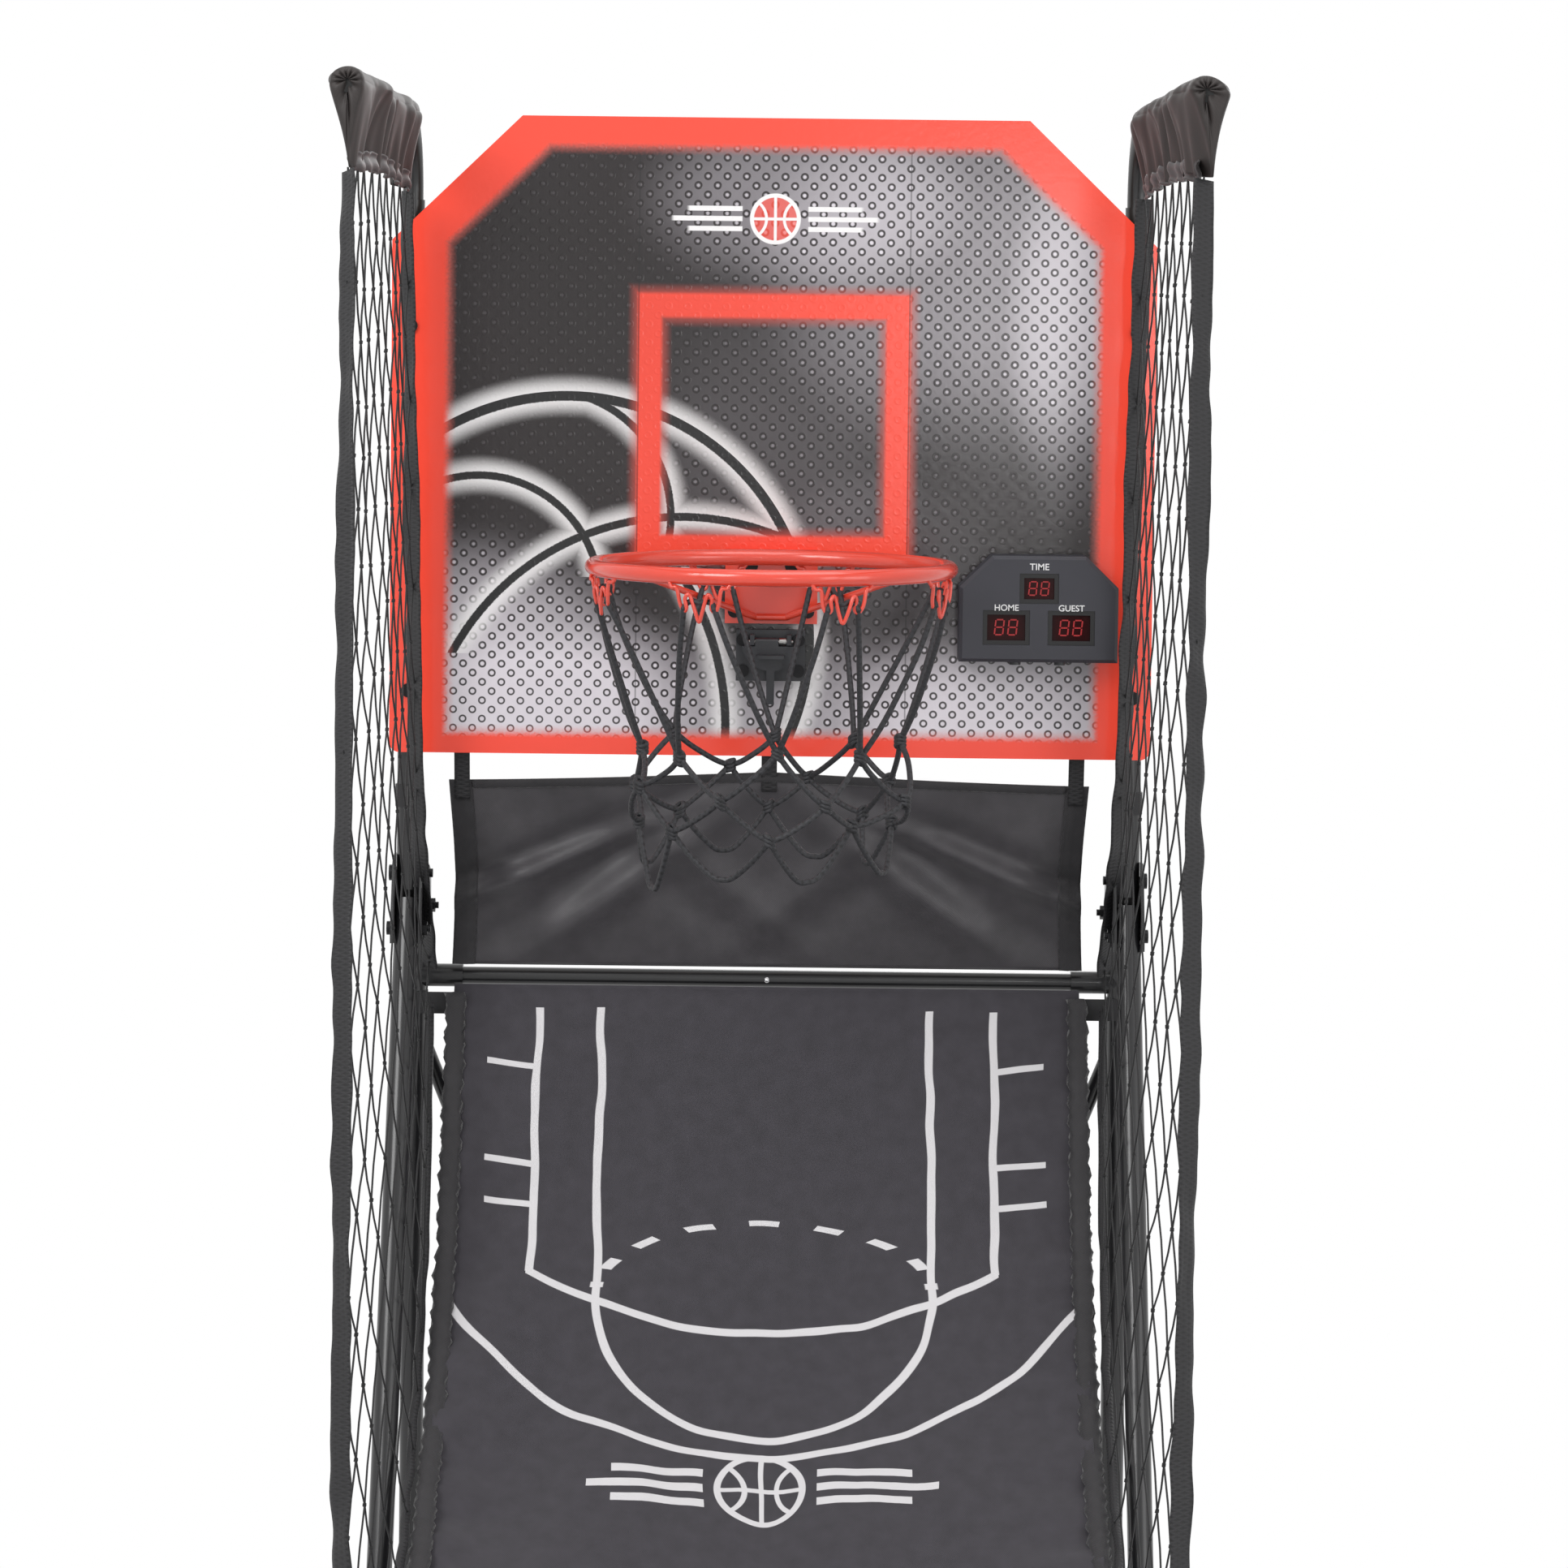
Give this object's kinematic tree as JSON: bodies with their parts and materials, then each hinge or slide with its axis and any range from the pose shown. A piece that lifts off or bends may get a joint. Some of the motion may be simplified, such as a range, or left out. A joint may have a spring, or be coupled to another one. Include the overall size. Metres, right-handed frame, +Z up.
{
  "type": "basketball hoop machine",
  "caption": "Indoor basketball shooting machine: folding tube frame with board, hoop and net, score box, side nets and a fabric ball-return ramp.",
  "frame": {"origin": "on the floor, under the middle of the machine", "axes": "+Z up, the player stands at -Y and looks along +Y, +X to the player's right"},
  "size_m": [0.69, 1.108, 2.0454],
  "materials": {
    "powder_black": "satin",
    "rubber_black": "matt",
    "board_print": "gloss",
    "hoop_red": "gloss",
    "black_screw": "satin",
    "zinc": "bright",
    "net_cord": "matt",
    "net_twine": "matt",
    "ramp_cloth": "matt",
    "backstop_cloth": "satin",
    "sleeve_nylon": "satin",
    "webbing": "matt",
    "case_grey": "textured",
    "plastic_black": "satin",
    "red_lens": "gloss",
    "circuit_green": "satin",
    "battery_wrap": "gloss",
    "spring_steel": "bright"
  },
  "bodies": {
    "stand": {"floor_runner_left": "powder_black", "floor_runner_right": "powder_black", "floor_tubes": "powder_black", "rear_leg_lower_left": "powder_black", "rear_leg_lower_right": "powder_black", "rear_leg_upper_left": "powder_black", "rear_leg_upper_right": "powder_black", "front_leg_left": "powder_black", "front_leg_right": "powder_black", "hinge_bracket_left": "powder_black", "hinge_bracket_right": "powder_black", "crossbar_left": "powder_black", "crossbar_right": "powder_black", "diagonal_braces": "powder_black", "front_posts": "powder_black", "front_bar": "powder_black", "runner_end_caps": "rubber_black", "hinge_bolts": "black_screw", "hinge_nuts": "black_screw", "ramp_fabric": "ramp_cloth", "backstop_fabric": "backstop_cloth", "ramp_ties": "webbing"},
    "hoop_frame": {"post_left": "powder_black", "post_right": "powder_black", "arm_left": "powder_black", "arm_right": "powder_black", "arm_end_plugs": "rubber_black", "arm_sleeve_left": "sleeve_nylon", "arm_sleeve_right": "sleeve_nylon", "backboard": "board_print", "board_bolts": "black_screw", "board_nuts": "black_screw", "small_screws": "black_screw", "hoop_ring": "hoop_red", "hoop_bracket": "hoop_red", "hoop_brace": "hoop_red", "net_hooks": "hoop_red", "basket_net": "net_cord", "sensor_base": "plastic_black", "paddle_pin": "spring_steel", "paddle_spring": "spring_steel", "score_case_front": "case_grey", "score_case_back": "case_grey", "battery_door": "case_grey", "window_bezels": "plastic_black", "display_windows": "red_lens", "display_modules": "plastic_black", "circuit_board": "circuit_green", "buzzer": "plastic_black", "batteries": "battery_wrap", "side_net_left": "net_twine", "side_net_right": "net_twine", "post_straps": "webbing", "backstop_straps": "webbing"},
    "paddle": {"sensor_paddle": "plastic_black"},
    "power_button": {"power_button": "plastic_black"},
    "mode_button": {"mode_button": "plastic_black"},
    "crossbar_snap": {"crossbar_snap_button": "zinc"},
    "leg_snap_left": {"leg_snap_button_left": "zinc"},
    "leg_snap_right": {"leg_snap_button_right": "zinc"}
  },
  "joints": [
    {"name": "fold", "type": "hinge", "parent": "stand", "child": "hoop_frame", "pos_m": [0, 0.3705, 1.351], "axis": [1, 0, 0], "range_deg": [0, 90], "deforming": ["side_net_left", "side_net_right", "basket_net", "backstop_straps", "backstop_fabric"]},
    {"name": "paddle_swing", "type": "hinge", "parent": "hoop_frame", "child": "paddle", "pos_m": [0, 0.328, 1.568], "axis": [1, 0, 0], "range_deg": [0, 12], "stiffness_Nm_per_rad": 0.02, "springref_deg": -17.19},
    {"name": "power_press", "type": "slide", "parent": "hoop_frame", "child": "power_button", "axis": [0, 0, 1], "range_m": [0, 0.0015], "stiffness_N_per_m": 300, "springref_m": -0.002},
    {"name": "mode_press", "type": "slide", "parent": "hoop_frame", "child": "mode_button", "axis": [0, 0, 1], "range_m": [0, 0.0015], "stiffness_N_per_m": 300, "springref_m": -0.002},
    {"name": "crossbar_snap_press", "type": "slide", "parent": "stand", "child": "crossbar_snap", "axis": [0, 1, 0], "range_m": [0, 0.003], "stiffness_N_per_m": 800, "springref_m": -0.002},
    {"name": "leg_snap_left_press", "type": "slide", "parent": "stand", "child": "leg_snap_left", "axis": [0, 1, 0], "range_m": [0, 0.0035], "stiffness_N_per_m": 800, "springref_m": -0.002},
    {"name": "leg_snap_right_press", "type": "slide", "parent": "stand", "child": "leg_snap_right", "axis": [0, 1, 0], "range_m": [0, 0.0035], "stiffness_N_per_m": 800, "springref_m": -0.002}
  ]
}
